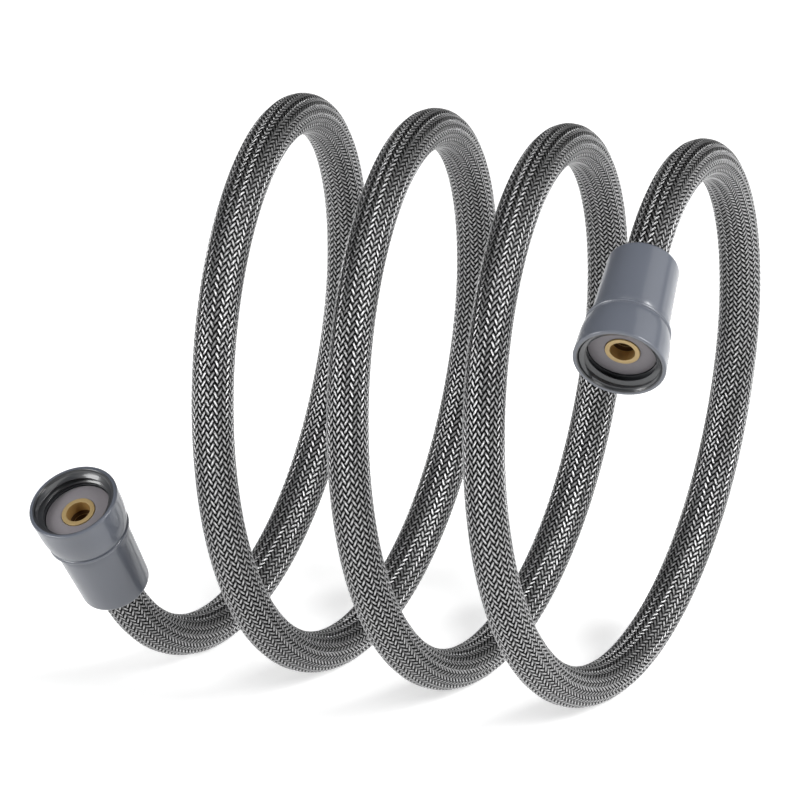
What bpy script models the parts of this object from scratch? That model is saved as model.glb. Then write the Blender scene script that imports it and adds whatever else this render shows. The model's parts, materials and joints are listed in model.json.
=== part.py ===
"""A braided shower hose in an open coil, with the same swivel nut at each end.

The coil lies on its side: its axis runs along X and the bottoms of its turns rest on the floor. A nut
takes the hose at each end, square to it, and turns freely on a flanged insert that is pushed into the
inner tube and held by a crimped ferrule. The nut's socket has the G 1/2 pipe thread of such hoses.
"""

import math

import bmesh
import bpy
from mathutils import Vector

# Coil: the line along the middle of the hose, in metres and degrees. An angle of 0 is the top of a turn,
# and it grows towards the front (-Y), then down to the floor and up the back.
COIL_RADIUS = 0.0712
COIL_PITCH = 0.0377
START_ANGLE = -233.8
END_ANGLE = 1115.0
REST_HALF_ANGLE = 12.0
ARC_STEPS = 18

# Towards each end the hose strays a little from the coil's curve, and turns its nut with it. The shifts
# are those where the hose leaves the nuts, and they fade away over END_STRETCH, an angle of the coil.
END_STRETCH = 42.0
SHIFT_A = Vector((-0.00105, 0.00265, -0.00095))
SHIFT_B = Vector((0.00105, -0.00265, 0.00095))

# Hose
HOSE_DIAMETER = 0.0111
HOSE_BORE_RADIUS = 0.00315
TUBE_SIDES = 12

# Nut, measured from the rim of its socket back towards the hose
CUP_LENGTH = 0.0128
SLEEVE_LENGTH = 0.0214
RIM_WALL = 0.00177
RIM_ROUND = 0.0005
CUP_END_RADIUS = 0.0111
CUP_EDGE_ROUND = 0.00025
CUP_BULGE = 0.0003
CUP_BULGE_SKEW = 1.5
CUP_STEPS = 8
SLEEVE_START_RADIUS = 0.0103
SLEEVE_END_RADIUS = 0.0094
SLEEVE_ROUND = 0.0012
ROUNDING_STEPS = 3
CHAMBER_RADIUS = 0.0075
LIP_LENGTH = 0.0025
LIP_CLEARANCE = 0.00055

# Socket thread: G 1/2, 14 turns to the inch
THREAD_MAJOR_RADIUS = 0.0209550 / 2
THREAD_MINOR_RADIUS = 0.0186310 / 2
THREAD_PITCH = 0.001814
THREAD_CREST_WIDTH = 0.0004
THREAD_CRESTS = 2
MOUTH_LENGTH = 0.00045
MOUTH_WIDENING = 0.0004

# Washer, insert and ferrule
WASHER_THICKNESS = 0.002
WASHER_CLEARANCE = 0.00017
NOSE_RADIUS = 0.0046
NOSE_BORE_RADIUS = 0.0033
NOSE_CLEARANCE = 0.00025
NOSE_PROUD = 0.0003
NOSE_BEVEL = 0.0002
FLANGE_THICKNESS = 0.0018
FLANGE_CLEARANCE = 0.0004
SEAT_GAP = 0.00025
TAIL_LENGTH = 0.015
TAIL_CLEARANCE = 0.0001
TAIL_END_GAP = 0.0005
TAIL_WALL = 0.00065
BARB_DEPTH = 0.00025
BARB_COUNT = 4
BARB_RISE = 0.0006
FERRULE_LENGTH = 0.012
FERRULE_WALL = 0.0011
FERRULE_CLEARANCE = 0.00025
FERRULE_GROOVE = 0.0002
FERRULE_GROOVE_SLOPE = 0.0004
FERRULE_GROOVE_COUNT = 3

LATHE_STEPS = 48
LATHE_STEPS_SMALL = 32
SMOOTH_ANGLE = math.radians(35)
ANGLE_TOLERANCE = 0.01
SHORTEST_STEP_SHARE = 0.4

# Places along a fitting, as depths below the rim
NUT_LENGTH = CUP_LENGTH + SLEEVE_LENGTH
THREAD_END = MOUTH_LENGTH + THREAD_PITCH * THREAD_CRESTS
WASHER_TOP = THREAD_END + SEAT_GAP
FLANGE_TOP = WASHER_TOP + WASHER_THICKNESS + SEAT_GAP
FLANGE_BACK = FLANGE_TOP + FLANGE_THICKNESS
SHOULDER = FLANGE_BACK + SEAT_GAP
HOSE_TIP = SHOULDER
FERRULE_TOP = SHOULDER + SEAT_GAP

# The rim's wall stands on the root of the thread
RIM_RADIUS = THREAD_MAJOR_RADIUS + RIM_WALL

# The corners of the hose's TUBE_SIDES sides lie on its radius, and the middles of its sides lie lower
HOSE_RADIUS = HOSE_DIAMETER / 2
HOSE_FLAT_RADIUS = HOSE_RADIUS * math.cos(math.pi / TUBE_SIDES)
TAIL_RADIUS = HOSE_BORE_RADIUS - TAIL_CLEARANCE
HOSE_BORE_DEPTH = FLANGE_BACK - HOSE_TIP + TAIL_LENGTH + TAIL_END_GAP


def clear_scene():
    for obj in list(bpy.data.objects):
        bpy.data.objects.remove(obj, do_unlink=True)


def make_material(name, colour, roughness, metallic):
    material = bpy.data.materials.new(name)
    material.use_nodes = True
    shader = material.node_tree.nodes["Principled BSDF"]
    shader.inputs["Base Color"].default_value = (*colour, 1.0)
    shader.inputs["Roughness"].default_value = roughness
    shader.inputs["Metallic"].default_value = metallic
    return material


def coil_point(angle):
    """The middle of the hose at an angle of the coil, with the coil's axis through the origin."""
    turn = math.radians(angle)
    return Vector((
        COIL_PITCH * angle / 360,
        -COIL_RADIUS * math.sin(turn),
        COIL_RADIUS * math.cos(turn),
    ))


def coil_direction(angle):
    """The direction of the coil where the angle grows, as the distance that it gains in a degree."""
    turn = math.radians(angle)
    return Vector((
        COIL_PITCH / 360,
        -COIL_RADIUS * math.radians(1) * math.cos(turn),
        -COIL_RADIUS * math.radians(1) * math.sin(turn),
    ))


def route_point(angle):
    """A point of the hose's route: on the coil, but level where a soft turn rests on the floor."""
    point = coil_point(angle)
    from_bottom = abs(angle % 360 - 180)
    if from_bottom < REST_HALF_ANGLE + ANGLE_TOLERANCE:
        point.z = -COIL_RADIUS
    near_a = max(0, 1 - (angle - START_ANGLE) / END_STRETCH)
    near_b = max(0, 1 - (END_ANGLE - angle) / END_STRETCH)
    return point + SHIFT_A * near_a ** 2 + SHIFT_B * near_b ** 2


def exit_directions():
    """The unit directions in which the route leaves the coil at its two ends."""
    outward_a = SHIFT_A * 2 / END_STRETCH - coil_direction(START_ANGLE)
    outward_b = SHIFT_B * 2 / END_STRETCH + coil_direction(END_ANGLE)
    return outward_a.normalized(), outward_b.normalized()


def hose_route():
    """Points along the middle of the hose, from its tip in nut A to its tip in nut B."""
    step = (360 - 2 * REST_HALF_ANGLE) / ARC_STEPS
    bottom = math.floor((START_ANGLE - 180) / 360) * 360 + 180
    angles = []
    while bottom < END_ANGLE:
        angles += [bottom + REST_HALF_ANGLE + step * index for index in range(ARC_STEPS + 1)]
        bottom += 360
    margin = step * SHORTEST_STEP_SHARE
    angles = [angle for angle in angles if START_ANGLE + margin < angle < END_ANGLE - margin]
    places = [route_point(angle) for angle in [START_ANGLE, *angles, END_ANGLE]]
    outward_a, outward_b = exit_directions()
    straight = NUT_LENGTH - HOSE_TIP
    return [places[0] + outward_a * straight, *places, places[-1] + outward_b * straight]


def make_hose(name, route, material, parent):
    """The hose as one plain solid along the route, with a blind bore in each end for the insert's tail."""
    curve = bpy.data.curves.new(name, "CURVE")
    curve.dimensions = "3D"
    curve.twist_mode = "MINIMUM"
    curve.bevel_depth = HOSE_RADIUS
    curve.bevel_resolution = (TUBE_SIDES - 4) // 2
    spline = curve.splines.new("POLY")
    spline.points.add(len(route) - 1)
    for point, place in zip(spline.points, route):
        point.co = (*place, 1.0)
    guide = bpy.data.objects.new(name + "_guide", curve)
    bpy.context.collection.objects.link(guide)
    graph = bpy.context.evaluated_depsgraph_get()
    mesh = bpy.data.meshes.new_from_object(guide.evaluated_get(graph))
    bpy.data.objects.remove(guide)
    mesh.name = name

    shape = bmesh.new()
    shape.from_mesh(mesh)
    rims = [edge for edge in shape.edges if edge.is_boundary]
    ends = bmesh.ops.holes_fill(shape, edges=rims)["faces"]
    bmesh.ops.recalc_face_normals(shape, faces=shape.faces)
    wall = HOSE_FLAT_RADIUS - HOSE_BORE_RADIUS
    bmesh.ops.inset_individual(shape, faces=ends, thickness=wall, use_even_offset=True)
    for end in ends:
        inwards = -end.normal * HOSE_BORE_DEPTH
        bore = bmesh.ops.extrude_face_region(shape, geom=[end])["geom"]
        corners = [item for item in bore if isinstance(item, bmesh.types.BMVert)]
        bmesh.ops.translate(shape, verts=corners, vec=inwards)
    bmesh.ops.delete(shape, geom=ends, context="FACES_ONLY")
    bmesh.ops.recalc_face_normals(shape, faces=shape.faces)
    shape.to_mesh(mesh)
    shape.free()
    mesh.shade_smooth()
    mesh.set_sharp_from_angle(angle=SMOOTH_ANGLE)
    mesh.materials.clear()
    mesh.materials.append(material)
    hose = bpy.data.objects.new(name, mesh)
    bpy.context.collection.objects.link(hose)
    hose.parent = parent
    return hose


def make_turned(name, profile, steps, material, parent):
    """A closed outline of (radius, depth below the rim), turned about the fitting's axis.

    The fitting's axis is its Z, with 0 where the hose leaves the nut and the rim at NUT_LENGTH.
    """
    shape = bmesh.new()
    corners = [shape.verts.new((radius, 0, NUT_LENGTH - depth)) for radius, depth in profile]
    sides = [shape.edges.new(pair) for pair in zip(corners, corners[1:] + corners[:1])]
    bmesh.ops.spin(
        shape,
        geom=corners + sides,
        cent=(0, 0, 0),
        axis=(0, 0, 1),
        angle=2 * math.pi,
        steps=steps,
        use_merge=True,
    )
    bmesh.ops.recalc_face_normals(shape, faces=shape.faces)
    mesh = bpy.data.meshes.new(name)
    shape.to_mesh(mesh)
    shape.free()
    mesh.shade_smooth()
    mesh.set_sharp_from_angle(angle=SMOOTH_ANGLE)
    mesh.materials.append(material)
    turned = bpy.data.objects.new(name, mesh)
    bpy.context.collection.objects.link(turned)
    turned.parent = parent
    return turned


def rounded_corner(centre_radius, centre_depth, size, first, last):
    """Points of an arc about (centre_radius, centre_depth), from one angle to another in degrees.

    An angle of 0 points outwards and 90 points away from the rim.
    """
    points = []
    for index in range(ROUNDING_STEPS + 1):
        angle = math.radians(first + (last - first) * index / ROUNDING_STEPS)
        points.append((centre_radius + size * math.cos(angle), centre_depth + size * math.sin(angle)))
    return points


def cup_side():
    """The outside of the cup: a taper that bulges a little, and more so towards the sleeve."""
    start = RIM_ROUND
    end = CUP_LENGTH - CUP_EDGE_ROUND
    points = []
    for index in range(1, CUP_STEPS + 1):
        share = index / CUP_STEPS
        taper = RIM_RADIUS + (CUP_END_RADIUS - RIM_RADIUS) * share
        bulge = CUP_BULGE * math.sin(math.pi * share ** CUP_BULGE_SKEW)
        points.append((taper + bulge, start + (end - start) * share))
    return points


def thread_side():
    """The socket's crests as rings, from the washer's chamber out to the mouth."""
    points = [(THREAD_MINOR_RADIUS, THREAD_END)]
    for index in reversed(range(THREAD_CRESTS)):
        middle = MOUTH_LENGTH + THREAD_PITCH * (index + 0.5)
        points.append((THREAD_MAJOR_RADIUS, MOUTH_LENGTH + THREAD_PITCH * (index + 1)))
        points.append((THREAD_MINOR_RADIUS, middle + THREAD_CREST_WIDTH / 2))
        points.append((THREAD_MINOR_RADIUS, middle - THREAD_CREST_WIDTH / 2))
    points.append((THREAD_MAJOR_RADIUS, MOUTH_LENGTH))
    points.append((THREAD_MAJOR_RADIUS + MOUTH_WIDENING, 0.0))
    return points


def nut_profile():
    lip_radius = HOSE_RADIUS + LIP_CLEARANCE
    lip_depth = NUT_LENGTH - LIP_LENGTH
    end_centre = (SLEEVE_END_RADIUS - SLEEVE_ROUND, NUT_LENGTH - SLEEVE_ROUND)
    outline = rounded_corner(RIM_RADIUS - RIM_ROUND, RIM_ROUND, RIM_ROUND, -90, 0)
    outline += cup_side()
    outline += [(CUP_END_RADIUS - CUP_EDGE_ROUND, CUP_LENGTH), (SLEEVE_START_RADIUS, CUP_LENGTH)]
    outline += rounded_corner(*end_centre, SLEEVE_ROUND, 0, 90)
    outline += [(lip_radius, NUT_LENGTH), (lip_radius, lip_depth)]
    outline += [(CHAMBER_RADIUS, lip_depth), (CHAMBER_RADIUS, SHOULDER), (THREAD_MINOR_RADIUS, SHOULDER)]
    return outline + thread_side()


def washer_profile():
    outer = THREAD_MINOR_RADIUS - WASHER_CLEARANCE
    inner = NOSE_RADIUS + NOSE_CLEARANCE
    back = WASHER_TOP + WASHER_THICKNESS
    return [(inner, WASHER_TOP), (outer, WASHER_TOP), (outer, back), (inner, back)]


def insert_profile():
    """A bevelled nose, a flange, and a tail whose barbs point at the hose's tip."""
    top = WASHER_TOP - NOSE_PROUD
    bevel_end = top + NOSE_BEVEL
    flange_radius = THREAD_MINOR_RADIUS - FLANGE_CLEARANCE
    tail_low_radius = TAIL_RADIUS - BARB_DEPTH
    tail_bore = tail_low_radius - TAIL_WALL
    tail_end = FLANGE_BACK + TAIL_LENGTH
    barb = TAIL_LENGTH / BARB_COUNT
    outline = [(NOSE_BORE_RADIUS + NOSE_BEVEL, top), (NOSE_RADIUS - NOSE_BEVEL, top)]
    outline += [(NOSE_RADIUS, bevel_end), (NOSE_RADIUS, FLANGE_TOP)]
    outline += [(flange_radius, FLANGE_TOP), (flange_radius, FLANGE_BACK)]
    for index in range(BARB_COUNT):
        start = FLANGE_BACK + barb * index
        outline += [(tail_low_radius, start), (TAIL_RADIUS, start + BARB_RISE)]
    outline += [(tail_low_radius, tail_end), (tail_bore, tail_end)]
    outline += [(tail_bore, FLANGE_BACK), (NOSE_BORE_RADIUS, FLANGE_TOP), (NOSE_BORE_RADIUS, bevel_end)]
    return outline


def ferrule_profile():
    """A ring with grooves, where the crimping jaws pressed it."""
    inner = HOSE_RADIUS + FERRULE_CLEARANCE
    outer = inner + FERRULE_WALL
    groove = outer - FERRULE_GROOVE
    bottom = FERRULE_TOP + FERRULE_LENGTH
    band = FERRULE_LENGTH / (2 * FERRULE_GROOVE_COUNT + 1)
    outline = [(inner, FERRULE_TOP), (outer, FERRULE_TOP)]
    for index in range(FERRULE_GROOVE_COUNT):
        start = FERRULE_TOP + band * (2 * index + 1)
        end = start + band
        outline += [(outer, start), (groove, start + FERRULE_GROOVE_SLOPE)]
        outline += [(groove, end - FERRULE_GROOVE_SLOPE), (outer, end)]
    outline += [(outer, bottom), (inner, bottom)]
    return outline


def make_fitting(letter, place, outward, materials, parent):
    """The four pieces on one end of the hose, about an axis that points out of the socket."""
    axis = bpy.data.objects.new("fitting_axis_" + letter, None)
    bpy.context.collection.objects.link(axis)
    axis.rotation_mode = "QUATERNION"
    axis.rotation_quaternion = outward.to_track_quat("Z", "Y")
    axis.location = place
    axis.parent = parent
    make_turned("nut_" + letter, nut_profile(), LATHE_STEPS, materials["nut"], axis)
    make_turned("washer_" + letter, washer_profile(), LATHE_STEPS, materials["washer"], axis)
    make_turned("insert_" + letter, insert_profile(), LATHE_STEPS_SMALL, materials["insert"], axis)
    make_turned("ferrule_" + letter, ferrule_profile(), LATHE_STEPS_SMALL, materials["ferrule"], axis)


def stand_on_origin(root):
    """Moves the whole hose so that the middle of its underside is at the origin."""
    bpy.context.view_layer.update()
    graph = bpy.context.evaluated_depsgraph_get()
    corners = []
    for obj in root.children_recursive:
        if obj.type == "EMPTY":
            continue
        evaluated = obj.evaluated_get(graph)
        mesh = evaluated.to_mesh()
        corners += [evaluated.matrix_world @ vertex.co for vertex in mesh.vertices]
        evaluated.to_mesh_clear()
    low = [min(corner[axis] for corner in corners) for axis in range(3)]
    high = [max(corner[axis] for corner in corners) for axis in range(3)]
    root.location = (-(low[0] + high[0]) / 2, -(low[1] + high[1]) / 2, -low[2])
    bpy.context.view_layer.update()


def main():
    clear_scene()
    root = bpy.data.objects.new("shower_hose", None)
    bpy.context.collection.objects.link(root)
    materials = {
        "hose": make_material("braided_hose", (0.32, 0.32, 0.33), 0.4, 0.6),
        "nut": make_material("grey_plastic", (0.19, 0.21, 0.25), 0.25, 0.0),
        "washer": make_material("washer_rubber", (0.2, 0.18, 0.19), 0.7, 0.0),
        "insert": make_material("brass", (0.62, 0.44, 0.18), 0.45, 0.8),
        "ferrule": make_material("ferrule_steel", (0.55, 0.56, 0.57), 0.35, 1.0),
    }
    make_hose("hose", hose_route(), materials["hose"], root)
    outward_a, outward_b = exit_directions()
    make_fitting("a", route_point(START_ANGLE), outward_a, materials, root)
    make_fitting("b", route_point(END_ANGLE), outward_b, materials, root)
    stand_on_origin(root)


main()
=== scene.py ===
"""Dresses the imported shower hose: its braid, nuts, washers and inserts, and the stage that shows them."""

import json
import math

import bpy
import numpy as np
from bpy.props import FloatProperty, FloatVectorProperty, IntProperty, PointerProperty
from mathutils import Matrix, Vector


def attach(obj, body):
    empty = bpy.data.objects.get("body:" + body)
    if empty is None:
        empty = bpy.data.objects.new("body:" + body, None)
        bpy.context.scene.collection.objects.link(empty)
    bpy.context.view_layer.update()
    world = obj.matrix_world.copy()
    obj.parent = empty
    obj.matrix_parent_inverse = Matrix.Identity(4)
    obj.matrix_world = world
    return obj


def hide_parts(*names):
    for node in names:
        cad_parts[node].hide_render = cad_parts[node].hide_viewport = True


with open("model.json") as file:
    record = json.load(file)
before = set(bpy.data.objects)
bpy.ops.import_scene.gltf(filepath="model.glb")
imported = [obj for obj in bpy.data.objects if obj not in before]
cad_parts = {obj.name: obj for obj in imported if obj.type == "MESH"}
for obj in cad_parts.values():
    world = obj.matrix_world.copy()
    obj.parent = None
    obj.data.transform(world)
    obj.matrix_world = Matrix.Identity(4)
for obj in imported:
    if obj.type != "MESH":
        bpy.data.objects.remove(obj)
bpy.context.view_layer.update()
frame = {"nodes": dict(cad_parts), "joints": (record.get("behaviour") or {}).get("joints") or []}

bl_info = {
    "name": "Braided Shower Hose",
    "version": (1, 0, 0),
    "blender": (4, 5, 0),
    "location": "View3D > Sidebar > Shower Hose",
    "description": "Builds the braid, nuts, washers and inserts of a coiled shower hose",
    "category": "Add Mesh",
}

JOINTS = {joint["name"]: joint for joint in frame["joints"]}
FITTINGS = ("a", "b")
HOSE_BODY = "hose_with_inserts"
SMOOTH_ANGLE = math.radians(35)
MERGE_DISTANCE = 0.00001
PATTERN_MAP = "strand"
BAKE_MAP = "OFBake"
PATH_POINTS = 240
NUT_SIDES = 128
WASHER_SIDES = 96
INSERT_SIDES = 72
THREAD_SIDES = 96
FLOAT_ROWS = 4
FLOAT_SIDES = 3
FLOAT_CORNERS = FLOAT_ROWS * FLOAT_SIDES
PAINTED_SOCKET_SHADE_MATERIAL = 1
PAINTED_BORE_SHADE_MATERIAL = 1
PAINTED_DEEP_SHADE_MATERIAL = 2


def metres(name, description, default):
    """A size in metres."""
    return FloatProperty(name=name, description=description, default=default, unit="LENGTH", precision=6)


def angle(name, description, default):
    """An angle in radians, which the panel shows in degrees."""
    return FloatProperty(name=name, description=description, default=default, unit="ROTATION")


def paint(name, description, default):
    """A colour as it is written in a shader."""
    return FloatVectorProperty(name=name, description=description, default=default, subtype="COLOR")


class HoseSizes(bpy.types.PropertyGroup):
    """The coil and the hose's own sizes, which repeat those of the CAD hose."""

    coil_radius: metres(
        name="Coil radius", description="From the coil's axis to the middle of the hose", default=0.0712
    )
    coil_pitch: metres(name="Coil pitch", description="Advance of the coil in one turn", default=0.0377)
    start_angle: angle(
        name="Start",
        description="Where the hose leaves nut A, counted from the top of a turn",
        default=math.radians(-233.8),
    )
    end_angle: angle(name="End", description="Where the hose enters nut B", default=math.radians(1115.0))
    end_stretch: angle(
        name="End stretch",
        description="How much of the coil strays from its curve towards each end",
        default=math.radians(42.0),
    )
    shift_a: FloatVectorProperty(
        name="Shift A",
        description="How far the hose has strayed where it leaves nut A",
        default=(-0.00105, 0.00265, -0.00095),
        subtype="TRANSLATION",
        precision=5,
    )
    shift_b: FloatVectorProperty(
        name="Shift B",
        description="How far the hose has strayed where it enters nut B",
        default=(0.00105, -0.00265, 0.00095),
        subtype="TRANSLATION",
        precision=5,
    )
    hidden_length: metres(
        name="Hidden length", description="How far the hose reaches into each nut", default=0.025572
    )
    diameter: metres(name="Diameter", description="Over the tops of the braid's strands", default=0.0111)
    core_radius: metres(
        name="Core radius",
        description="Black tube and the lower strands, under the floats",
        default=0.00506,
    )
    core_sides: IntProperty(name="Core sides", description="Faces around the core", default=24)
    core_step: metres(name="Core step", description="Length of one ring of the core", default=0.00205)


class BraidSizes(bpy.types.PropertyGroup):
    """The woven cover: strands that pass over two crossing strands and under two."""

    columns: IntProperty(
        name="Columns",
        description="Rows of floats side by side around the hose, two to a chevron",
        default=30,
    )
    spacing: metres(
        name="Spacing", description="From one float to the next along the hose", default=0.00194
    )
    width: metres(name="Strand width", description="Width of one strand", default=0.0006)
    overlap: FloatProperty(
        name="Overlap",
        description="How much longer a float is than its column is wide, where its ends dive",
        default=1.12,
    )
    end_drop: metres(
        name="End drop", description="How far a float's ends dive below its top", default=0.00046
    )
    edge_drop: metres(
        name="Edge drop", description="How far a strand's edges lie below its middle", default=0.00018
    )
    shoulder: FloatProperty(
        name="Shoulder",
        description="Share of a float's half-length at which it starts to dive",
        default=0.66,
    )
    colour: paint(name="Strand colour", description="Bright strands", default=(0.57, 0.57, 0.575))
    gap_colour: paint(
        name="Gap colour", description="Core seen between the strands", default=(0.004, 0.004, 0.004)
    )
    # Painted shade: the strands under the floats get a near-black colour for the floats' shade over them.
    under_painted_shade_colour: paint(
        name="Under strands painted shade", description="Strands that pass under the floats", default=(0.02, 0.02, 0.02)
    )


class FittingSizes(bpy.types.PropertyGroup):
    """Sizes of the nut and of what it holds, with places along it as depths below the rim."""

    cup_length: metres(name="Cup length", description="Wide end of the nut", default=0.0128)
    sleeve_length: metres(name="Sleeve length", description="Narrow end of the nut", default=0.0214)
    rim_radius: metres(name="Rim radius", description="Outside of the socket's rim", default=0.0122475)
    rim_round: metres(name="Rim rounding", description="Rounding of the rim", default=0.0004)
    cup_end_radius: metres(
        name="Cup end radius", description="Outside of the cup at its step", default=0.0111
    )
    cup_bulge: metres(name="Cup bulge", description="How far the cup's side stands out", default=0.0003)
    bead_radius: metres(
        name="Bead radius", description="Rounding of the bead at the cup's step", default=0.0006
    )
    bead_height: metres(
        name="Bead height", description="How far the bead stands out of the cup's side", default=0.0002
    )
    groove_depth: metres(
        name="Groove depth", description="Groove in the sleeve beside the step", default=0.00015
    )
    sleeve_start_radius: metres(
        name="Sleeve start radius", description="Outside of the sleeve at the cup", default=0.0103
    )
    sleeve_end_radius: metres(
        name="Sleeve end radius", description="Outside of the sleeve at the hose", default=0.0094
    )
    sleeve_round: metres(name="Sleeve rounding", description="Rounding of the sleeve's end", default=0.0012)
    chamber_radius: metres(name="Chamber radius", description="Room inside the sleeve", default=0.0075)
    lip_length: metres(name="Lip length", description="Lip around the hose", default=0.0025)
    lip_radius: metres(name="Lip radius", description="Inside of the lip around the hose", default=0.0061)
    thread_major: metres(
        name="Thread root radius", description="Major radius of the G 1/2 thread", default=0.0104775
    )
    thread_minor: metres(
        name="Thread crest radius", description="Minor radius of the G 1/2 thread", default=0.0093155
    )
    thread_pitch: metres(name="Thread pitch", description="14 turns to the inch", default=0.001814)
    thread_end: metres(name="Thread end", description="Depth of the last crest's root", default=0.004078)
    shoulder: metres(name="Shoulder", description="Depth of the chamber's shoulder", default=0.008628)
    mouth_widening: metres(
        name="Mouth widening", description="Recess of the socket's mouth", default=0.0005
    )
    mouth_round: metres(name="Mouth rounding", description="Inner rounding of the rim", default=0.00035)
    washer_top: metres(name="Washer top", description="Depth of the washer's face", default=0.004328)
    washer_thickness: metres(name="Washer thickness", description="Thickness of the washer", default=0.002)
    washer_radius: metres(name="Washer radius", description="Outside of the washer", default=0.0091455)
    washer_hole: metres(name="Washer hole", description="Hole of the washer", default=0.00465)
    nose_radius: metres(name="Nose radius", description="Outside of the insert's nose", default=0.0046)
    nose_bore: metres(name="Nose bore", description="Water way through the insert", default=0.0033)
    nose_proud: metres(
        name="Nose proud", description="How far the nose stands above the washer", default=0.0003
    )
    nose_round: metres(name="Nose rounding", description="Rounding of the nose's edges", default=0.00013)
    flange_top: metres(name="Flange top", description="Depth of the insert's flange", default=0.006578)
    flange_thickness: metres(name="Flange thickness", description="Thickness of the flange", default=0.0018)
    flange_radius: metres(name="Flange radius", description="Outside of the flange", default=0.0089155)
    lit_depth: metres(
        name="Lit depth",
        description="How far below the flange's top the light reaches into the insert",
        default=0.0007,
    )
    tail_length: metres(name="Tail length", description="Tail of the insert in the hose", default=0.015)
    tail_radius: metres(name="Tail radius", description="Over the tail's barbs", default=0.00305)
    tail_bore: metres(name="Tail bore", description="Water way through the tail", default=0.00215)
    nut_colour: paint(name="Nut colour", description="Blue-grey moulding", default=(0.115, 0.127, 0.155))
    # Painted shade: the same moulding, darker inside the socket where less light reaches.
    socket_painted_shade_colour: paint(
        name="Socket painted shade",
        description="The moulding inside the socket, which catches less light",
        default=(0.036, 0.038, 0.042),
    )
    washer_colour: paint(name="Washer colour", description="Grey rubber", default=(0.225, 0.21, 0.225))
    # Painted shade: the brass inside the bore is a darker, warmer copy, and deeper in it is near black
    # where the light does not reach.
    bore_painted_shade_colour: paint(name="Bore painted shade", description="Inside of the insert", default=(0.5, 0.31, 0.11))
    insert_colour: paint(name="Insert colour", description="Brass", default=(0.5, 0.36, 0.165))
    deep_painted_shade_colour: paint(
        name="Deep bore painted shade",
        description="Inside of the insert, out of reach of the light",
        default=(0.1, 0.05, 0.018),
    )
    steel_colour: paint(name="Ferrule colour", description="Pressed steel", default=(0.55, 0.56, 0.57))


class StageSizes(bpy.types.PropertyGroup):
    """The camera, the floor and the lamps."""

    azimuth: angle(name="Azimuth", description="Camera's turn from the front", default=math.radians(21.61))
    elevation: angle(
        name="Elevation", description="Camera's height as an angle", default=math.radians(18.75)
    )
    distance: metres(name="Distance", description="From the camera to the coil's axis", default=2.901)
    lens: FloatProperty(name="Lens", description="Focal length in millimetres", default=489.15)
    aim_right: metres(
        name="Aim right",
        description="From the coil's axis at nut A's end to the picture's middle, to the right",
        default=0.03154,
    )
    aim_up: metres(name="Aim up", description="The same, upwards", default=-0.0056)
    floor_size: metres(name="Floor", description="Side of the floor", default=12.0)
    floor_colour: paint(name="Floor colour", description="Pale floor", default=(0.8, 0.8, 0.8))
    wall_height: angle(
        name="Wall height",
        description="How far above the horizon reflections show the white background",
        default=math.radians(8.0),
    )
    floor_glow: FloatProperty(
        name="Floor glow", description="White added to the lit floor where it is background", default=0.55
    )
    room_light: FloatProperty(
        name="Room light", description="Faint light from all round", default=0.06
    )
    lamp_distance: metres(
        name="Lamp distance", description="From the middle of the floor to each lamp", default=2.4
    )


def deselect_all():
    """Leaves nothing selected."""
    for chosen in list(bpy.context.selected_objects):
        chosen.select_set(False)


def choose(piece):
    """Makes one object the selected and active one."""
    deselect_all()
    piece.select_set(True)
    bpy.context.view_layer.objects.active = piece


def route_frames(sizes, angles):
    """Places on the hose's route, and unit directions along it and away from the coil's axis."""
    advance = sizes.coil_pitch / (2 * math.pi)
    sine = np.sin(angles)
    cosine = np.cos(angles)
    radius = sizes.coil_radius
    places = np.stack([advance * angles, -radius * sine, radius * cosine], 1)
    along = np.stack([np.full_like(angles, advance), -radius * cosine, -radius * sine], 1)
    near_a = np.maximum(0, 1 - (angles - sizes.start_angle) / sizes.end_stretch)[:, None]
    near_b = np.maximum(0, 1 - (sizes.end_angle - angles) / sizes.end_stretch)[:, None]
    shift_a = np.array(sizes.shift_a)
    shift_b = np.array(sizes.shift_b)
    places += shift_a * near_a ** 2 + shift_b * near_b ** 2
    along += (shift_b * near_b - shift_a * near_a) * 2 / sizes.end_stretch
    along /= np.linalg.norm(along, axis=1, keepdims=True)
    away = np.stack([np.zeros_like(angles), -sine, cosine], 1)
    away -= along * (away * along).sum(axis=1, keepdims=True)
    away /= np.linalg.norm(away, axis=1, keepdims=True)
    return places, along, away


def coil_origin(sizes):
    """The place on the coil's axis at angle 0, from the joint where the hose leaves nut A."""
    start = route_frames(sizes, np.array([sizes.start_angle]))[0][0]
    return Vector(JOINTS["nut_a_swivel"]["pos_m"]) - Vector(start)


def coil_length(sizes):
    """Length of the hose's middle line from one nut to the other."""
    advance = sizes.coil_pitch / (2 * math.pi)
    return (sizes.end_angle - sizes.start_angle) * math.hypot(sizes.coil_radius, advance)


def hose_length(sizes):
    """Length of the whole hose, with what each nut hides."""
    return coil_length(sizes) + 2 * sizes.hidden_length


def hose_frames(sizes, distances):
    """Places, and directions along, away from the coil and sideways, at distances from the tip in nut A."""
    past_exit = distances - sizes.hidden_length
    on_coil = np.clip(past_exit, 0, coil_length(sizes))
    angles = sizes.start_angle + on_coil / coil_length(sizes) * (sizes.end_angle - sizes.start_angle)
    places, along, away = route_frames(sizes, angles)
    places += along * (past_exit - on_coil)[:, None] + np.array(coil_origin(sizes))
    return places, along, away, np.cross(along, away)


def on_hose(sizes, distances, turns, radii):
    """Points at distances along the hose, turns round it (1 is all round) and radii from its middle."""
    places, _, away, sideways = hose_frames(sizes, distances)
    angles = 2 * math.pi * turns
    spokes = away * np.cos(angles)[:, None] + sideways * np.sin(angles)[:, None]
    return places + spokes * radii[:, None]


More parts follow.
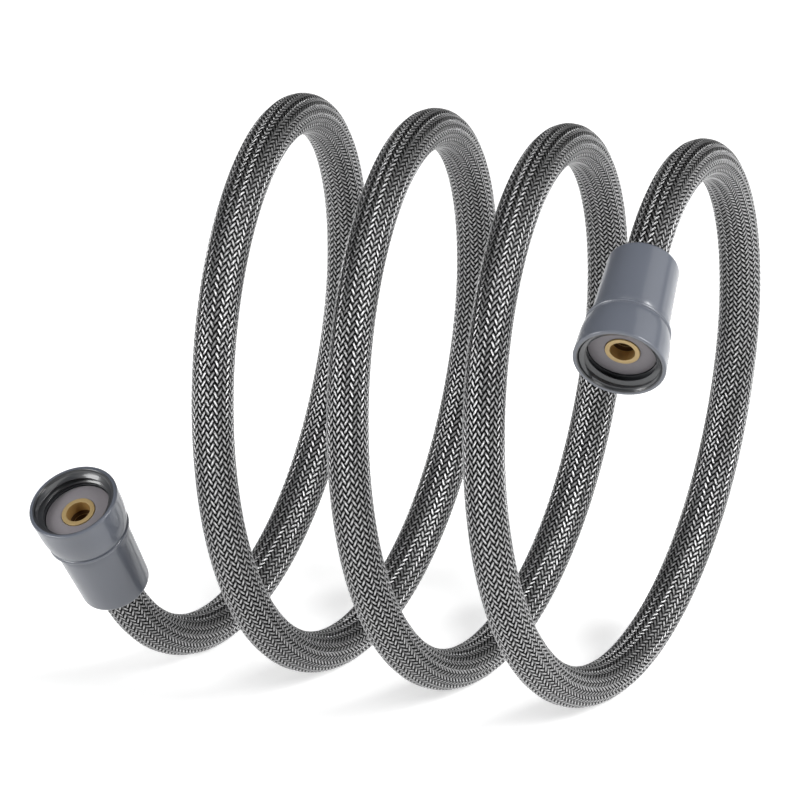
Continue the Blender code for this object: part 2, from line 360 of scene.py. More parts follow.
def mesh_piece(name, points, faces, map_points):
    """An object from points and faces, with the same map for its pattern and for its bake."""
    mesh = bpy.data.meshes.new(name)
    mesh.from_pydata(points.tolist(), [], faces.tolist())
    corners = np.empty(len(mesh.loops), np.int32)
    mesh.loops.foreach_get("vertex_index", corners)
    for layer in (PATTERN_MAP, BAKE_MAP):
        places = mesh.uv_layers.new(name=layer)
        places.data.foreach_set("uv", map_points[corners].astype(np.float32).ravel())
    mesh.shade_smooth()
    piece = bpy.data.objects.new(name, mesh)
    bpy.context.collection.objects.link(piece)
    return piece


def close_up(piece):
    """Merges a shell's seam, turns its faces outward and smooths it where it bends softly."""
    choose(piece)
    bpy.ops.object.mode_set(mode="EDIT")
    bpy.ops.mesh.select_all(action="SELECT")
    bpy.ops.mesh.remove_doubles(threshold=MERGE_DISTANCE)
    bpy.ops.mesh.normals_make_consistent(inside=False)
    bpy.ops.object.mode_set(mode="OBJECT")
    bpy.ops.object.shade_smooth_by_angle(angle=SMOOTH_ANGLE)


def turned_piece(name, outline, sides):
    """A closed outline of (radius, height), turned about Z."""
    deselect_all()
    bpy.ops.mesh.primitive_circle_add(vertices=len(outline), radius=outline[0][0])
    piece = bpy.context.object
    piece.name = name
    for corner, (radius, height) in zip(piece.data.vertices, outline):
        corner.co = (radius, 0, height)
    bpy.ops.object.mode_set(mode="EDIT")
    bpy.ops.mesh.select_all(action="SELECT")
    bpy.ops.mesh.spin(steps=sides, angle=2 * math.pi, center=(0, 0, 0), axis=(0, 0, 1))
    bpy.ops.object.mode_set(mode="OBJECT")
    close_up(piece)
    return piece


def arc(centre_radius, centre_height, size, first, last, steps):
    """Points of an arc in an outline, from one angle to another in degrees, 0 outwards and 90 upwards."""
    angles = np.radians(np.linspace(first, last, steps + 1))
    return [(centre_radius + size * math.cos(a), centre_height + size * math.sin(a)) for a in angles]


def place_on_fitting(piece, letter):
    """Stands a piece, made about Z with the hose's exit at 0, on a fitting's axis."""
    joint = JOINTS["nut_" + letter + "_swivel"]
    turn = Vector(joint["axis"]).to_track_quat("Z", "Y")
    piece.matrix_world = Matrix.LocRotScale(Vector(joint["pos_m"]), turn, None)
    choose(piece)
    bpy.ops.object.transform_apply(location=True, rotation=True, scale=True)


def nut_outline(fit):
    """The nut's wall as (radius, height), from the rim down its outside and up its inside."""
    top = fit.cup_length + fit.sleeve_length
    step = fit.sleeve_length
    outline = arc(fit.rim_radius - fit.rim_round, top - fit.rim_round, fit.rim_round, 90, 0, steps=5)
    # The cup's side, from the rim to where the bead's rounding starts, 68 degrees up
    bead = fit.bead_radius
    bead_top = 68
    bead_reach = 2.1
    bulge_lean = 1.5
    side_top = top - fit.rim_round
    side_bottom = step + bead_reach * bead
    for share in np.linspace(0, 1, 15)[1:-1]:
        taper = fit.rim_radius + (fit.cup_end_radius - fit.rim_radius) * share
        bulge = fit.cup_bulge * math.sin(math.pi * share ** bulge_lean)
        outline.append((taper + bulge, side_top + (side_bottom - side_top) * share))
    outline += arc(fit.cup_end_radius - bead + fit.bead_height, step + bead, bead, bead_top, -90, steps=9)
    # The groove beside the step, and the sleeve down to its rounded end
    groove = fit.sleeve_start_radius - fit.groove_depth
    groove_floor = 0.00015
    groove_end = 0.0004
    outline += [(groove, step), (groove, step - groove_floor), (fit.sleeve_start_radius, step - groove_end)]
    end = fit.sleeve_round
    for share in np.linspace(0, 1, 8)[1:-1]:
        radius = fit.sleeve_start_radius + (fit.sleeve_end_radius - fit.sleeve_start_radius) * share
        outline.append((radius, step + (end - step) * share))
    outline += arc(fit.sleeve_end_radius - end, end, end, 0, -90, steps=8)
    # Inside: the lip around the hose, the chamber, its shoulder, and the thread's root
    lip_round = 0.0003
    outline += arc(fit.lip_radius + lip_round, lip_round, lip_round, -90, -180, steps=3)
    outline += [(fit.lip_radius, fit.lip_length), (fit.chamber_radius, fit.lip_length)]
    outline += [(fit.chamber_radius, top - fit.shoulder), (fit.thread_minor, top - fit.shoulder)]
    run_out = 0.0004
    outline += [(fit.thread_minor, top - fit.thread_end)]
    outline += [(fit.thread_major, top - fit.thread_end + run_out)]
    # The widened mouth
    mouth = fit.thread_major + fit.mouth_widening
    mouth_start = 0.0009
    mouth_end = 0.0006
    mouth_slope = 0.0001
    outline += [(fit.thread_major, top - mouth_start), (mouth - mouth_slope, top - mouth_end)]
    outline += arc(mouth + fit.mouth_round, top - fit.mouth_round, fit.mouth_round, 180, 90, steps=4)
    return outline


def thread_ridge(name, fit):
    """The socket's thread: one ridge swept along its helix, that fades into the wall at both ends."""
    first_rise = 0.00025
    unthreaded = 0.00115
    sunk = 0.0001
    root_share = 0.36
    crest_share = 0.1
    crest_round = 0.00008
    fade_turns = 0.14
    first = fit.cup_length + fit.sleeve_length - fit.thread_end + first_rise
    turns = (fit.thread_end - unthreaded) / fit.thread_pitch
    root = fit.thread_major + sunk
    crest = fit.thread_minor
    half_root = fit.thread_pitch * root_share
    half_crest = fit.thread_pitch * crest_share
    outline = [
        (root, -half_root),
        (crest + crest_round, -half_crest),
        (crest, -half_crest / 2),
        (crest, half_crest / 2),
        (crest + crest_round, half_crest),
        (root, half_root),
    ]
    deselect_all()
    bpy.ops.mesh.primitive_circle_add(vertices=len(outline), radius=root)
    ridge = bpy.context.object
    ridge.name = name
    for corner, (radius, height) in zip(ridge.data.vertices, outline):
        corner.co = (radius, 0, first + height)
    screw = ridge.modifiers.new("Thread", "SCREW")
    screw.axis = "Z"
    screw.angle = 2 * math.pi * turns
    screw.screw_offset = fit.thread_pitch * turns
    screw_steps = int(THREAD_SIDES * turns)
    screw.steps = screw_steps
    screw.render_steps = screw_steps
    screw.merge_threshold = MERGE_DISTANCE
    choose(ridge)
    bpy.ops.object.modifier_apply(modifier=screw.name)
    for corner in ridge.data.vertices:
        radius = math.hypot(corner.co.x, corner.co.y)
        turned = corner.index // len(outline) / screw_steps * turns
        share = min(1.0, turned / fade_turns, (turns - turned) / fade_turns)
        wanted = root + (radius - root) * math.sin(share * math.pi / 2)
        corner.co.x *= wanted / radius
        corner.co.y *= wanted / radius
    close_up(ridge)
    return ridge


def mark_socket_painted_shade(nut, fit):
    """Gives the inside of the socket, from the middle of the rim inwards, the second material: the same
    moulding in a darker colour, as painted shade.
    """
    top = fit.cup_length + fit.sleeve_length
    for face in nut.data.polygons:
        radius = math.hypot(face.center.x, face.center.y)
        depth = top - face.center.z
        in_socket = radius < fit.cup_end_radius and depth < fit.shoulder
        on_rim = radius < fit.rim_radius - 2 * fit.rim_round and depth < fit.mouth_round
        if in_socket or on_rim:
            face.material_index = PAINTED_SOCKET_SHADE_MATERIAL


def washer_outline(fit):
    """A flat ring with softly rounded edges."""
    edge = 0.00018
    top = fit.cup_length + fit.sleeve_length - fit.washer_top - edge
    bottom = top - fit.washer_thickness + 2 * edge
    inner = fit.washer_hole + edge
    outer = fit.washer_radius - edge
    outline = arc(inner, top, edge, 180, 90, steps=4) + arc(outer, top, edge, 90, 0, steps=4)
    outline += arc(outer, bottom, edge, 0, -90, steps=4) + arc(inner, bottom, edge, -90, -180, steps=4)
    return outline


def insert_outline(fit):
    """A rounded nose, a flange, and a tail with barbs."""
    rim = fit.cup_length + fit.sleeve_length
    top = rim - fit.washer_top + fit.nose_proud
    flange_top = rim - fit.flange_top
    flange_back = flange_top - fit.flange_thickness
    tail_end = flange_back - fit.tail_length
    edge = fit.nose_round
    outline = arc(fit.nose_bore + edge, top - edge, edge, 180, 90, steps=5)
    outline += arc(fit.nose_radius - edge, top - edge, edge, 90, 0, steps=5)
    outline += [(fit.nose_radius, flange_top), (fit.flange_radius, flange_top)]
    outline += [(fit.flange_radius, flange_back)]
    # Each barb rises steeply on the flange's side and falls slowly towards the tail's end
    barbs = 4
    barb_rise = 0.0006
    waist = fit.tail_radius - 0.00025
    for index in range(barbs):
        start = flange_back - fit.tail_length / barbs * index
        outline += [(waist, start), (fit.tail_radius, start - barb_rise)]
    outline += [(waist, tail_end), (fit.tail_bore, tail_end)]
    # The bore widens from the tail's to the nose's in two cones
    cone_length = 0.002
    cone_step = 0.0004
    outline += [(fit.tail_bore, flange_back - cone_length), (fit.nose_bore - cone_step, flange_back)]
    outline += [(fit.nose_bore, flange_top - fit.lit_depth)]
    return outline


def float_patch(braid, around, along, lean):
    """One float as a small arched patch: offsets around and along the hose, heights, and its map."""
    length = math.hypot(around, along)
    reach = length * braid.overlap / 2
    rows = np.array([-1.0, -braid.shoulder, braid.shoulder, 1.0])
    sides = np.array([-1.0, 0.0, 1.0])
    ahead, aside = [grid.ravel() for grid in np.meshgrid(rows, sides, indexing="ij")]
    half = braid.width / 2
    offset_around = (ahead * reach * around - lean * aside * half * along) / length
    offset_along = (lean * ahead * reach * along + aside * half * around) / length
    dive = (np.abs(ahead) == 1.0) * braid.end_drop
    heights = -dive - np.abs(aside) * braid.edge_drop
    return offset_around, offset_along, heights, (aside + 1) / 2, (ahead + 1) / 2


def make_floats(name, hose, braid, lean):
    """Every float that leans one way, as one mesh."""
    around = 2 * math.pi * hose.diameter / 2 / braid.columns
    count = round(hose_length(hose) / braid.spacing)
    along = hose_length(hose) / count
    # Every other column leans the same way, and its neighbours' floats sit half a spacing on
    columns = np.arange(0, braid.columns, 2) + (0.5 if lean > 0 else 1.5)
    rings = np.arange(1, count) + (0.0 if lean > 0 else 0.5)
    last_ring = count - 0.6
    rings = rings[rings < last_ring]
    ring, column = [grid.ravel() for grid in np.meshgrid(rings, columns, indexing="ij")]
    offset_around, offset_along, heights, across, ahead = float_patch(braid, around, along, lean)
    turns = (column[:, None] + offset_around / around) / braid.columns
    distances = ring[:, None] * along + offset_along
    radii = np.broadcast_to(hose.diameter / 2 + heights, turns.shape)
    points = on_hose(hose, distances.ravel(), turns.ravel(), radii.ravel())
    grid = np.arange(FLOAT_CORNERS).reshape(FLOAT_ROWS, FLOAT_SIDES)
    quads = np.stack([grid[:-1, :-1], grid[1:, :-1], grid[1:, 1:], grid[:-1, 1:]], -1).reshape(-1, 4)
    faces = (np.arange(len(ring))[:, None, None] * FLOAT_CORNERS + quads).reshape(-1, 4)
    map_points = np.tile(np.stack([across, ahead], 1), (len(ring), 1))
    floats = mesh_piece(name, points, faces, map_points)
    sharpen_shoulders(floats.data)
    return floats


def sharpen_shoulders(mesh):
    """Keeps a float flat along its top: a crease across it where each end starts to dive."""
    ends = np.empty(len(mesh.edges) * 2, np.int32)
    mesh.edges.foreach_get("vertices", ends)
    ends = np.sort(ends.reshape(-1, 2), axis=1)
    row = ends[:, 0] % FLOAT_CORNERS // FLOAT_SIDES
    across = ends[:, 1] - ends[:, 0] == 1
    creased = across & (row > 0) & (row < FLOAT_ROWS - 1)
    mesh.attributes.new("sharp_edge", "BOOLEAN", "EDGE").data.foreach_set("value", creased)


def node_group(name, inputs, outputs):
    """A shader node group with its sockets, and its input and output nodes."""
    group = bpy.data.node_groups.new(name, "ShaderNodeTree")
    for label, kind, value in inputs:
        socket = group.interface.new_socket(label, in_out="INPUT", socket_type=kind)
        socket.default_value = value
    for label, kind in outputs:
        group.interface.new_socket(label, in_out="OUTPUT", socket_type=kind)
    return group, group.nodes.new("NodeGroupInput"), group.nodes.new("NodeGroupOutput")


def maths(tree, operation, *values):
    """A Math node. Each value is a number or a socket."""
    node = tree.nodes.new("ShaderNodeMath")
    node.operation = operation
    for socket, value in zip(node.inputs, values):
        if isinstance(value, bpy.types.NodeSocket):
            tree.links.new(value, socket)
        else:
            socket.default_value = value
    return node.outputs[0]


def scaled(tree, colour, share):
    """A colour made darker or lighter by a socket's value."""
    node = tree.nodes.new("ShaderNodeVectorMath")
    node.operation = "SCALE"
    tree.links.new(colour, node.inputs[0])
    tree.links.new(share, node.inputs["Scale"])
    return node.outputs[0]


def strand_group():
    """Fine wires side by side in a strand, with painted shade: darker between the wires, at its edges and
    where its ends dive.
    """
    group, given, result = node_group(
        "strand_wires_painted_shade",
        [
            ("Color", "NodeSocketColor", (0.5, 0.5, 0.5, 1.0)),
            ("Wires", "NodeSocketFloat", 5.0),
            ("Wire Painted Shade", "NodeSocketFloat", 0.3),
            ("Wire Lean", "NodeSocketFloat", 0.9),
            ("Edge Painted Shade", "NodeSocketFloat", 0.9),
            ("End Painted Shade", "NodeSocketFloat", 1.0),
        ],
        [("Color", "NodeSocketColor"), ("Normal Color", "NodeSocketColor")],
    )
    places = group.nodes.new("ShaderNodeUVMap")
    places.uv_map = PATTERN_MAP
    apart = group.nodes.new("ShaderNodeSeparateXYZ")
    group.links.new(places.outputs["UV"], apart.inputs[0])
    across = maths(group, "ABSOLUTE", maths(group, "MULTIPLY_ADD", apart.outputs["X"], 2.0, -1.0))
    ahead = maths(group, "ABSOLUTE", maths(group, "MULTIPLY_ADD", apart.outputs["Y"], 2.0, -1.0))
    row = maths(group, "FRACT", maths(group, "MULTIPLY", apart.outputs["X"], given.outputs["Wires"]))
    aside = maths(group, "MULTIPLY_ADD", row, 2.0, -1.0)
    beside_wire = maths(group, "ABSOLUTE", aside)
    share = None
    # Painted shade: the strand's colour darkens between its wires, towards its edges and towards its diving
    # ends.
    for place, power, label in (
        (beside_wire, 3.0, "Wire Painted Shade"),
        (across, 3.0, "Edge Painted Shade"),
        (ahead, 2.0, "End Painted Shade"),
    ):
        painted_darkening = maths(group, "MULTIPLY", maths(group, "POWER", place, power), given.outputs[label])
        kept = maths(group, "SUBTRACT", 1.0, painted_darkening)
        share = kept if share is None else maths(group, "MULTIPLY", share, kept)
    group.links.new(scaled(group, given.outputs["Color"], share), result.inputs["Color"])
    lean = maths(group, "MULTIPLY", aside, given.outputs["Wire Lean"])
    # A normal's parts run from -1 to 1, and a normal map holds them as 0 to 1
    normal = group.nodes.new("ShaderNodeCombineXYZ")
    normal.inputs["Y"].default_value = 0.5
    for operation, part in (("SINE", "X"), ("COSINE", "Z")):
        stored = maths(group, "MULTIPLY_ADD", maths(group, operation, lean), 0.5, 0.5)
        group.links.new(stored, normal.inputs[part])
    group.links.new(normal.outputs[0], result.inputs["Normal Color"])
    return group


def surface_variation_group():
    """Slow changes of shade and roughness over a surface, read from Object coordinates."""
    found = bpy.data.node_groups.get("surface_variation")
    if found:
        return found
    group, given, result = node_group(
        "surface_variation",
        [
            ("Color", "NodeSocketColor", (0.5, 0.5, 0.5, 1.0)),
            ("Roughness", "NodeSocketFloat", 0.4),
            ("Scale", "NodeSocketFloat", 120.0),
            ("Shade", "NodeSocketFloat", 0.1),
            ("Polish", "NodeSocketFloat", 0.05),
        ],
        [("Color", "NodeSocketColor"), ("Roughness", "NodeSocketFloat"), ("Height", "NodeSocketFloat")],
    )
    places = group.nodes.new("ShaderNodeTexCoord")
    noise = group.nodes.new("ShaderNodeTexNoise")
    noise.inputs["Detail"].default_value = 4.0
    group.links.new(places.outputs["Object"], noise.inputs["Vector"])
    group.links.new(given.outputs["Scale"], noise.inputs["Scale"])
    swing = maths(group, "SUBTRACT", noise.outputs["Fac"], 0.5)
    bright = maths(group, "ADD", maths(group, "MULTIPLY", swing, given.outputs["Shade"]), 1.0)
    shade = scaled(group, given.outputs["Color"], bright)
    polish = maths(group, "MULTIPLY", swing, given.outputs["Polish"])
    rough = maths(group, "ADD", polish, given.outputs["Roughness"])
    group.links.new(shade, result.inputs["Color"])
    group.links.new(rough, result.inputs["Roughness"])
    group.links.new(noise.outputs["Fac"], result.inputs["Height"])
    return group


def varied_material(name, colour, roughness, scale, shade, polish, metallic=0.0):
    """A Principled material whose shade and roughness vary a little over the surface."""
    material = bpy.data.materials.new(name)
    material.use_nodes = True
    tree = material.node_tree
    shader = tree.nodes["Principled BSDF"]
    shader.inputs["Metallic"].default_value = metallic
    effect = tree.nodes.new("ShaderNodeGroup")
    effect.node_tree = surface_variation_group()
    effect.inputs["Color"].default_value = (*colour, 1.0)
    effect.inputs["Roughness"].default_value = roughness
    effect.inputs["Scale"].default_value = scale
    effect.inputs["Shade"].default_value = shade
    effect.inputs["Polish"].default_value = polish
    tree.links.new(effect.outputs["Color"], shader.inputs["Base Color"])
    tree.links.new(effect.outputs["Roughness"], shader.inputs["Roughness"])
    return material, shader, effect


def nut_material(name, colour):
    """Smooth moulding with a clear gloss."""
    material, shader, _ = varied_material(name, colour, roughness=0.34, scale=60.0, shade=0.06, polish=0.04)
    shader.inputs["Coat Weight"].default_value = 0.6
    shader.inputs["Coat Roughness"].default_value = 0.1
    return material


def washer_material(fit):
    """Matt rubber with a faint grain."""
    material, shader, effect = varied_material(
        "washer_rubber", fit.washer_colour, roughness=0.5, scale=900.0, shade=0.12, polish=0.1
    )
    bump = material.node_tree.nodes.new("ShaderNodeBump")
    bump.inputs["Strength"].default_value = 0.15
    bump.inputs["Distance"].default_value = 0.0001
    material.node_tree.links.new(effect.outputs["Height"], bump.inputs["Height"])
    material.node_tree.links.new(bump.outputs["Normal"], shader.inputs["Normal"])
    return material


def insert_material(name, colour):
    """Satin brass."""
    return varied_material(
        name, colour, roughness=0.45, scale=300.0, shade=0.15, polish=0.1, metallic=0.35
    )[0]


def ferrule_material(fit):
    """Pressed steel."""
    return varied_material(
        "ferrule_steel", fit.steel_colour, roughness=0.35, scale=400.0, shade=0.1, polish=0.1, metallic=1.0
    )[0]


def strand_material(braid):
    """Bright wires."""
    material = bpy.data.materials.new("braid_strand")
    material.use_nodes = True
    tree = material.node_tree
    shader = tree.nodes["Principled BSDF"]
    shader.inputs["Metallic"].default_value = 1.0
    shader.inputs["Roughness"].default_value = 0.31
    wires = tree.nodes.new("ShaderNodeGroup")
    wires.node_tree = strand_group()
    wires.inputs["Color"].default_value = (*braid.colour, 1.0)
    tree.links.new(wires.outputs["Color"], shader.inputs["Base Color"])
    bent = tree.nodes.new("ShaderNodeNormalMap")
    bent.uv_map = PATTERN_MAP
    tree.links.new(wires.outputs["Normal Color"], bent.inputs["Color"])
    tree.links.new(bent.outputs["Normal"], shader.inputs["Normal"])
    return material


def under_strands_group():
    """Strands that pass under the floats, painted dark as shade, and the black holes between them, two to a
    column of floats.
    """
    group, given, result = node_group(
        "under_strands",
        [
            ("Gap Color", "NodeSocketColor", (0.0, 0.0, 0.0, 1.0)),
            ("Under Painted Shade Color", "NodeSocketColor", (0.1, 0.1, 0.1, 1.0)),
        ],
        [("Color", "NodeSocketColor")],
    )
    places = group.nodes.new("ShaderNodeUVMap")
    places.uv_map = PATTERN_MAP
    apart = group.nodes.new("ShaderNodeSeparateXYZ")
    group.links.new(places.outputs["UV"], apart.inputs[0])
    # A hole every half column: 0 at a hole, 1 midway between two
    from_hole = maths(group, "PINGPONG", apart.outputs["X"], 0.25)
    share = maths(group, "POWER", maths(group, "MULTIPLY", from_hole, 4.0), 3.0)
    # Painted shade: the under strands' colour is a dark one, for the shade of the floats over them.
    mix = group.nodes.new("ShaderNodeMix")
    mix.data_type = "RGBA"
    group.links.new(share, mix.inputs[0])
    group.links.new(given.outputs["Gap Color"], mix.inputs[6])
    group.links.new(given.outputs["Under Painted Shade Color"], mix.inputs[7])
    group.links.new(mix.outputs[2], result.inputs["Color"])
    return group


def core_material(braid):
    """The strands under the floats, painted dark as shade, and the black between them."""
    material = bpy.data.materials.new("braid_core")
    material.use_nodes = True
    tree = material.node_tree
    shader = tree.nodes["Principled BSDF"]
    shader.inputs["Roughness"].default_value = 0.6
    shader.inputs["Specular IOR Level"].default_value = 0.2
    strands = tree.nodes.new("ShaderNodeGroup")
    strands.node_tree = under_strands_group()
    strands.inputs["Gap Color"].default_value = (*braid.gap_colour, 1.0)
    strands.inputs["Under Painted Shade Color"].default_value = (*braid.under_painted_shade_colour, 1.0)
    tree.links.new(strands.outputs["Color"], shader.inputs["Base Color"])
    return material


def background_ray(tree, mirrored):
    """1 for what the camera sees, the given share for what shows in metal or glass, and 0 for light."""
    ray = tree.nodes.new("ShaderNodeLightPath")
    indirect = maths(tree, "MAXIMUM", ray.outputs["Is Glossy Ray"], ray.outputs["Is Transmission Ray"])
    return maths(tree, "MAXIMUM", ray.outputs["Is Camera Ray"], maths(tree, "MULTIPLY", indirect, mirrored))


class SHOWERHOSE_OT_stage(bpy.types.Operator):
    """Makes the camera, the floor and the lamps"""

    bl_idname = "shower_hose.stage"
    bl_label = "Stage"

    def execute(self, context):
        stage = context.scene.shower_hose_stage
        hose = context.scene.shower_hose
        self.make_camera(context, stage, coil_origin(hose))
        self.make_floor(stage)
        self.make_lamps(stage)
        self.make_world(context, stage)
        context.scene.view_settings.view_transform = "Standard"
        return {"FINISHED"}

    def make_camera(self, context, stage, target):
        """Stands where the photograph was taken from, aimed at the middle of its frame."""
        sine, cosine = math.sin(stage.azimuth), math.cos(stage.azimuth)
        high, level = math.sin(stage.elevation), math.cos(stage.elevation)
        back = Vector((level * sine, -level * cosine, high))
        right = Vector((cosine, sine, 0))
        up = back.cross(right)
        place = target + back * stage.distance
        aim = target + right * stage.aim_right + up * stage.aim_up
        deselect_all()
        bpy.ops.object.camera_add(location=place)
        camera = context.object
        camera.name = "camera"
        camera.rotation_euler = (aim - place).to_track_quat("-Z", "Y").to_euler()
        camera.data.lens = stage.lens
        camera.data.clip_end = 50
        context.scene.camera = camera

    def make_floor(self, stage):
        """A pale floor that looks white to the camera where the object throws no shadow."""
        deselect_all()
        bpy.ops.mesh.primitive_plane_add(size=stage.floor_size)
        floor = bpy.context.object
        floor.name = "floor"
        material = bpy.data.materials.new("floor_white")
        material.use_nodes = True
        tree = material.node_tree
        shader = tree.nodes["Principled BSDF"]
        shader.inputs["Base Color"].default_value = (*stage.floor_colour, 1.0)
        shader.inputs["Roughness"].default_value = 0.9
        shader.inputs["Specular IOR Level"].default_value = 0.0
        glow = maths(tree, "MULTIPLY", background_ray(tree, 1.0), stage.floor_glow)
        tree.links.new(glow, shader.inputs["Emission Strength"])
        shader.inputs["Emission Color"].default_value = (1, 1, 1, 1)
        floor.data.materials.append(material)

    def make_lamps(self, stage):
        """Soft boxes, by degrees from the camera and upwards, width and depth in metres, and watts."""
        for name, turn, height, width, depth, power in (
            ("right_box", 60.0, 36.0, 1.2, 1.2, 58.0),
            ("left_box", -70.0, 24.0, 1.0, 1.0, 36.0),
            ("top_box", -20.0, 65.0, 1.6, 1.0, 10.0),
            ("back_box", 105.0, 42.0, 1.8, 1.8, 8.0),
        ):
            azimuth = stage.azimuth + math.radians(turn)
            level = stage.lamp_distance * math.cos(math.radians(height))
            high = stage.lamp_distance * math.sin(math.radians(height))
            place = Vector((level * math.sin(azimuth), -level * math.cos(azimuth), high))
            deselect_all()
            bpy.ops.object.light_add(type="AREA", location=place)
            lamp = bpy.context.object
            lamp.name = name
            lamp.data.shape = "RECTANGLE"
            lamp.data.size = width
            lamp.data.size_y = depth
            lamp.data.energy = power
            lamp.rotation_euler = (-place).to_track_quat("-Z", "Y").to_euler()

    def make_world(self, context, stage):
        """White walls under a dark ceiling in reflections, and white all round for the camera."""
        world = context.scene.world or bpy.data.worlds.new("world")
        context.scene.world = world
        world.use_nodes = True
        tree = world.node_tree
        background = tree.nodes["Background"]
        direction = tree.nodes.new("ShaderNodeTexCoord")
        apart = tree.nodes.new("ShaderNodeSeparateXYZ")
        tree.links.new(direction.outputs["Generated"], apart.inputs[0])
        on_wall = maths(tree, "LESS_THAN", apart.outputs["Z"], math.sin(stage.wall_height))
        light = stage.room_light
        strength = maths(tree, "MULTIPLY_ADD", background_ray(tree, on_wall), 1 - light, light)
        background.inputs["Color"].default_value = (1, 1, 1, 1)
        tree.links.new(strength, background.inputs["Strength"])


class SHOWERHOSE_OT_core(bpy.types.Operator):
    """Makes the hose's core, under the braid"""

    bl_idname = "shower_hose.core"
    bl_label = "Core"

    def execute(self, context):
        hose = context.scene.shower_hose
        braid = context.scene.shower_hose_braid
        count = round(hose_length(hose) / hose.core_step)
        rings = np.linspace(0, hose_length(hose), count + 1)
        sides = hose.core_sides
        distances = np.repeat(rings, sides + 1)
        turns = np.tile(np.arange(sides + 1) / sides, count + 1)
        points = on_hose(hose, distances, turns, np.full(len(turns), hose.core_radius))
        map_points = np.stack([turns * braid.columns, distances / braid.spacing], 1)
        corner = (np.arange(count)[:, None] * (sides + 1) + np.arange(sides)).ravel()
        faces = np.stack([corner, corner + sides + 1, corner + sides + 2, corner + 1], 1)
        core = mesh_piece("hose_core", points, faces, map_points)
        choose(core)
        bpy.ops.object.mode_set(mode="EDIT")
        bpy.ops.mesh.select_all(action="SELECT")
        bpy.ops.mesh.remove_doubles(threshold=MERGE_DISTANCE)
        bpy.ops.mesh.normals_make_consistent(inside=False)
        bpy.ops.object.mode_set(mode="OBJECT")
        core.data.materials.append(core_material(braid))
        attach(core, HOSE_BODY)
        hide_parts("hose")
        return {"FINISHED"}


class SHOWERHOSE_OT_braid(bpy.types.Operator):
    """Makes the braid's floats, the ones that lean left and the ones that lean right"""

    bl_idname = "shower_hose.braid"
    bl_label = "Braid"

    def execute(self, context):
        hose = context.scene.shower_hose
        braid = context.scene.shower_hose_braid
        material = strand_material(braid)
        for name, lean in (("braid_right_floats", 1), ("braid_left_floats", -1)):
            floats = make_floats(name, hose, braid, lean)
            floats.data.materials.append(material)
            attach(floats, HOSE_BODY)
            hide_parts("hose")
        return {"FINISHED"}


class SHOWERHOSE_OT_nuts(bpy.types.Operator):
    """Makes both nuts, each with its thread"""

    bl_idname = "shower_hose.nuts"
    bl_label = "Nuts"

    def execute(self, context):
        fit = context.scene.shower_hose_fitting
        outside = nut_material("nut_grey", fit.nut_colour)
        # Painted shade: the inside of the socket is the same moulding in a darker colour, for the shade
        # inside it.
        inside = nut_material("nut_socket_painted_shade", fit.socket_painted_shade_colour)
        for letter in FITTINGS:
            nut = turned_piece("nut_shell_" + letter, nut_outline(fit), NUT_SIDES)
            ridge = thread_ridge("thread_" + letter, fit)
            choose(nut)
            ridge.select_set(True)
            bpy.ops.object.join()
            nut.data.materials.append(outside)
            nut.data.materials.append(inside)
            mark_socket_painted_shade(nut, fit)
            place_on_fitting(nut, letter)
            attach(nut, "swivel_nut_" + letter)
            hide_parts("nut_" + letter)
        return {"FINISHED"}


class SHOWERHOSE_OT_washers(bpy.types.Operator):
    """Makes the washer in the bottom of each socket"""

    bl_idname = "shower_hose.washers"
    bl_label = "Washers"

    def execute(self, context):
        fit = context.scene.shower_hose_fitting
        material = washer_material(fit)
        for letter in FITTINGS:
            washer = turned_piece("flat_washer_" + letter, washer_outline(fit), WASHER_SIDES)
            place_on_fitting(washer, letter)
            washer.data.materials.append(material)
            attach(washer, "swivel_nut_" + letter)
            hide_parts("washer_" + letter)
        return {"FINISHED"}


class SHOWERHOSE_OT_inserts(bpy.types.Operator):
    """Makes the insert in each end, and finishes the ferrules"""

    bl_idname = "shower_hose.inserts"
    bl_label = "Inserts and ferrules"

    def execute(self, context):
        fit = context.scene.shower_hose_fitting
        outside = insert_material("brass", fit.insert_colour)
        # Painted shade: two darker copies of the brass for the bore, one lit and one out of reach of the
        # light.
        inside = insert_material("brass_bore_painted_shade", fit.bore_painted_shade_colour)
        deep = insert_material("brass_deep_painted_shade", fit.deep_painted_shade_colour)
        steel = ferrule_material(fit)
        for letter in FITTINGS:
            insert = turned_piece("hose_insert_" + letter, insert_outline(fit), INSERT_SIDES)
            insert.data.materials.append(outside)
            insert.data.materials.append(inside)
            insert.data.materials.append(deep)
            # Painted shade: bore faces above the lit depth take the darker, warmer brass, and those below
            # it the near-black one.
            lit_end = fit.cup_length + fit.sleeve_length - fit.flange_top - fit.lit_depth
            for face in insert.data.polygons:
                if math.hypot(face.center.x, face.center.y) < fit.nose_bore:
                    face.material_index = PAINTED_BORE_SHADE_MATERIAL if face.center.z > lit_end else PAINTED_DEEP_SHADE_MATERIAL
            place_on_fitting(insert, letter)
            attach(insert, HOSE_BODY)
            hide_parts("insert_" + letter)
            for slot in frame["nodes"]["ferrule_" + letter].material_slots:
                slot.material = steel
        return {"FINISHED"}


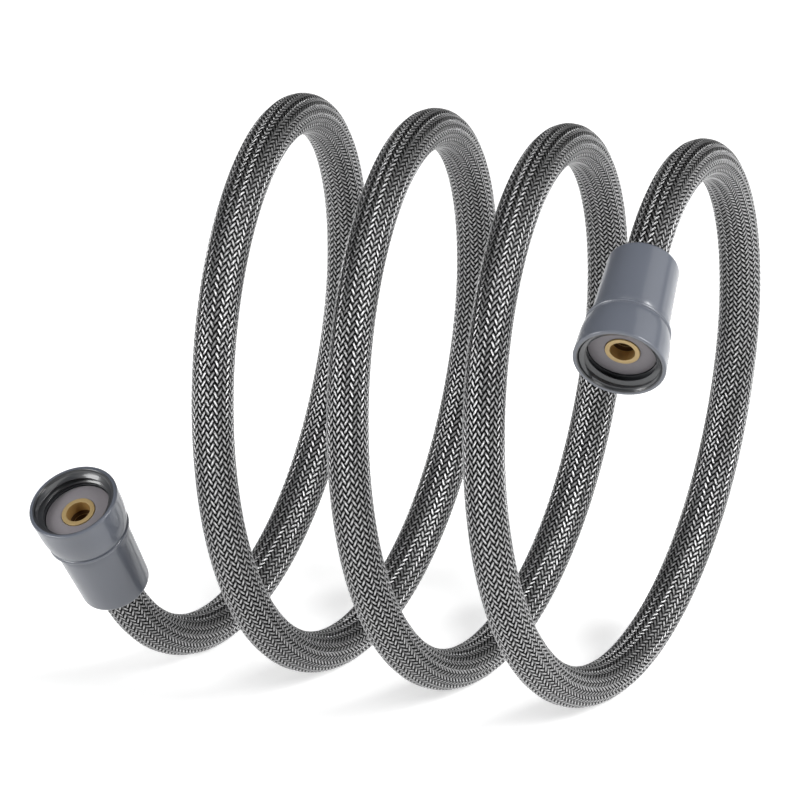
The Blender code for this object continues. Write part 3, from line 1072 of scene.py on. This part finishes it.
class SHOWERHOSE_OT_declare(bpy.types.Operator):
    bl_idname = "shower_hose.declare"
    bl_label = "Declare the hose"

    def execute(self, context):
        hose = context.scene.shower_hose
        rings = np.linspace(0, hose_length(hose), PATH_POINTS)
        path = hose_frames(hose, rings)[0]
        on_it = ["braid_right_floats", "braid_left_floats"]
        for letter in FITTINGS:
            on_it += ["nut_shell_" + letter, "flat_washer_" + letter, "hose_insert_" + letter]
        return {"FINISHED"}


class SHOWERHOSE_PT_panel(bpy.types.Panel):
    """Lists the sizes and the steps"""

    bl_idname = "SHOWERHOSE_PT_panel"
    bl_label = "Shower Hose"
    bl_space_type = "VIEW_3D"
    bl_region_type = "UI"
    bl_category = "Shower Hose"

    def draw(self, context):
        for operator in OPERATORS:
            self.layout.operator(operator.bl_idname)
        for group, holder in HOLDERS.items():
            box = self.layout.box()
            for name in group.__annotations__:
                box.prop(getattr(context.scene, holder), name)


OPERATORS = (
    SHOWERHOSE_OT_stage,
    SHOWERHOSE_OT_core,
    SHOWERHOSE_OT_braid,
    SHOWERHOSE_OT_nuts,
    SHOWERHOSE_OT_washers,
    SHOWERHOSE_OT_inserts,
    SHOWERHOSE_OT_declare,
)
HOLDERS = {
    HoseSizes: "shower_hose",
    BraidSizes: "shower_hose_braid",
    FittingSizes: "shower_hose_fitting",
    StageSizes: "shower_hose_stage",
}


def register():
    """Adds the sizes, the steps and the panel to Blender."""
    for group, holder in HOLDERS.items():
        bpy.utils.register_class(group)
        setattr(bpy.types.Scene, holder, PointerProperty(type=group))
    for each in (*OPERATORS, SHOWERHOSE_PT_panel):
        bpy.utils.register_class(each)


def unregister():
    """Takes them out again."""
    for each in reversed((*OPERATORS, SHOWERHOSE_PT_panel)):
        bpy.utils.unregister_class(each)
    for group, holder in HOLDERS.items():
        delattr(bpy.types.Scene, holder)
        bpy.utils.unregister_class(group)


def main():
    """Runs the steps in order."""
    register()
    bpy.ops.shower_hose.stage()
    bpy.ops.shower_hose.core()
    bpy.ops.shower_hose.braid()
    bpy.ops.shower_hose.nuts()
    bpy.ops.shower_hose.washers()
    bpy.ops.shower_hose.inserts()
    bpy.ops.shower_hose.declare()


if __name__ == "__main__":
    main()
